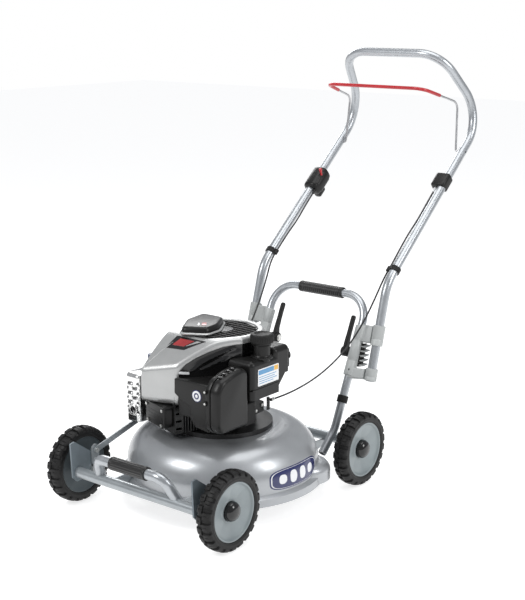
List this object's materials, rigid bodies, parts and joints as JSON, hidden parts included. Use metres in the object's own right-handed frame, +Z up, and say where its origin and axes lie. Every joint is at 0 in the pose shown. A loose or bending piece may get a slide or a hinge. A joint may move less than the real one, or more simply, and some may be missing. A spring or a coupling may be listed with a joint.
{
  "type": "rotary push mower",
  "caption": "Walk-behind petrol rotary mower: domed steel deck, vertical-shaft engine, tube handlebar with red brake bail, lifting handles and chunky tyres.",
  "frame": {"origin": "on the ground under the middle of the overall box", "axes": "+Z up, +X towards the operator's left, +Y towards the operator (rear), -Y the front"},
  "size_m": [0.5618, 1.2899, 1.1375],
  "materials": {
    "deck_paint": "satin silver metallic paint",
    "frame_paint": "silver-grey powder coat",
    "plate_paint": "dark grey powder coat",
    "zinc_steel": "zinc plated",
    "tyre": "moulded tread, matt",
    "rim_plastic": "light blue-grey, satin",
    "gloss_black": "glossy",
    "matte_black": "fine grain",
    "grip_rubber": "ribbed, matt",
    "block_plastic": "light grey, moulded",
    "shroud_silver": "silver metallic",
    "engine_metal": "cast, painted black",
    "cast_alloy": "cast",
    "steel": "machined",
    "chrome_guard": "bright pressed sheet",
    "red_sleeve": "gloss",
    "cable_sheath": "smooth"
  },
  "bodies": {
    "chassis": {"air_filter_base": "matte_black", "air_filter_cover": "matte_black", "axle_bolts": "zinc_steel", "blower_housing": "gloss_black", "brake_cable": "cable_sheath", "carburettor": "matte_black", "con_rod": "cast_alloy", "crankcase": "engine_metal", "cross_tubes": "frame_paint", "cylinder_head": "engine_metal", "deck": "deck_paint", "deck_brackets": "frame_paint", "fasteners": "zinc_steel", "front_handle": "frame_paint", "fuel_tank": "gloss_black", "grille": "gloss_black", "guide_blocks": "block_plastic", "handle_grips": "grip_rubber", "leg_collars": "matte_black", "muffler": "steel", "muffler_guard": "chrome_guard", "piston": "cast_alloy", "plug_boot": "grip_rubber", "right_stay": "frame_paint", "rocker_cover": "matte_black", "spark_plug": "zinc_steel", "throttle_cable": "cable_sheath", "top_cap": "gloss_black", "top_shroud": "shroud_silver", "u_handle": "frame_paint", "wheel_plates": "plate_paint"},
    "crank_train": {"crankshaft": "steel", "flywheel": "cast_alloy", "blade_hub": "steel", "blade": "steel", "blade_bolt": "zinc_steel"},
    "camshaft": {"camshaft": "steel"},
    "handlebar": {"handlebar": "frame_paint", "cable_clips": "matte_black", "throttle_housing": "matte_black", "brake_cable_box": "matte_black"},
    "bail": {"bail_wire": "zinc_steel", "bail_sleeve": "red_sleeve"},
    "throttle": {"throttle_lever": "matte_black"},
    "lever_left": {"clamp_lever_left": "matte_black"},
    "lever_right": {"clamp_lever_right": "matte_black"},
    "fuel_cap": {"fuel_cap": "matte_black"},
    "starter": {"starter_grip": "matte_black"},
    "wheel_front_left": {"tyre_front_left": "tyre", "rim_front_left": "rim_plastic", "hub_cap_front_left": "gloss_black"},
    "wheel_front_right": {"tyre_front_right": "tyre", "rim_front_right": "rim_plastic", "hub_cap_front_right": "gloss_black"},
    "wheel_rear_left": {"tyre_rear_left": "tyre", "rim_rear_left": "rim_plastic", "hub_cap_rear_left": "gloss_black"},
    "wheel_rear_right": {"tyre_rear_right": "tyre", "rim_rear_right": "rim_plastic", "hub_cap_rear_right": "gloss_black"}
  },
  "joints": [
    {"name": "wheel_front_left_spin", "type": "hinge", "parent": "chassis", "child": "wheel_front_left", "pos_m": [0.2544, -0.54954, 0.1], "axis": [1, 0, 0], "continuous": true},
    {"name": "wheel_front_right_spin", "type": "hinge", "parent": "chassis", "child": "wheel_front_right", "pos_m": [-0.2544, -0.54954, 0.1], "axis": [1, 0, 0], "continuous": true},
    {"name": "wheel_rear_left_spin", "type": "hinge", "parent": "chassis", "child": "wheel_rear_left", "pos_m": [0.2544, -0.00074, 0.1], "axis": [1, 0, 0], "continuous": true},
    {"name": "wheel_rear_right_spin", "type": "hinge", "parent": "chassis", "child": "wheel_rear_right", "pos_m": [-0.2544, -0.00074, 0.1], "axis": [1, 0, 0], "continuous": true},
    {"name": "crank_spin", "type": "hinge", "parent": "chassis", "child": "crank_train", "pos_m": [0, -0.26914, 0.092], "axis": [0, 0, 1], "continuous": true},
    {"name": "camshaft_spin", "type": "hinge", "parent": "chassis", "child": "camshaft", "pos_m": [0, -0.20914, 0.206], "axis": [0, 0, 1], "continuous": true},
    {"name": "handlebar_height", "type": "slide", "parent": "chassis", "child": "handlebar", "axis": [0, 0.2742, 0.9617], "range_m": [-0.028, 0.028], "deforming": ["brake_cable", "throttle_cable"]},
    {"name": "bail_swing", "type": "hinge", "parent": "handlebar", "child": "bail", "pos_m": [0, 0.56086, 0.84423], "axis": [-1, 0, 0], "range_deg": [0, 26], "stiffness_Nm_per_rad": 1.2, "springref_deg": -51.57},
    {"name": "throttle_turn", "type": "hinge", "parent": "handlebar", "child": "throttle", "pos_m": [-0.1925, 0.43542, 0.73826], "axis": [1, 0, 0], "range_deg": [-20, 30]},
    {"name": "clamp_lever_left_swing", "type": "hinge", "parent": "chassis", "child": "lever_left", "pos_m": [0.124, 0.11786, 0.322], "axis": [1, 0, 0], "range_deg": [0, 110]},
    {"name": "clamp_lever_right_swing", "type": "hinge", "parent": "chassis", "child": "lever_right", "pos_m": [-0.124, 0.11786, 0.322], "axis": [1, 0, 0], "range_deg": [0, 110]},
    {"name": "fuel_cap_lift", "type": "slide", "parent": "chassis", "child": "fuel_cap", "axis": [0, 0, 1], "range_m": [0, 0.08]},
    {"name": "starter_pull", "type": "slide", "parent": "chassis", "child": "starter", "axis": [-0.829, 0.5593, 0], "range_m": [0, 0.5], "stiffness_N_per_m": 15, "springref_m": -0.4}
  ],
  "couplings": [
    {"joint": "camshaft_spin", "follows": "crank_spin", "ratio": -0.5}
  ]
}
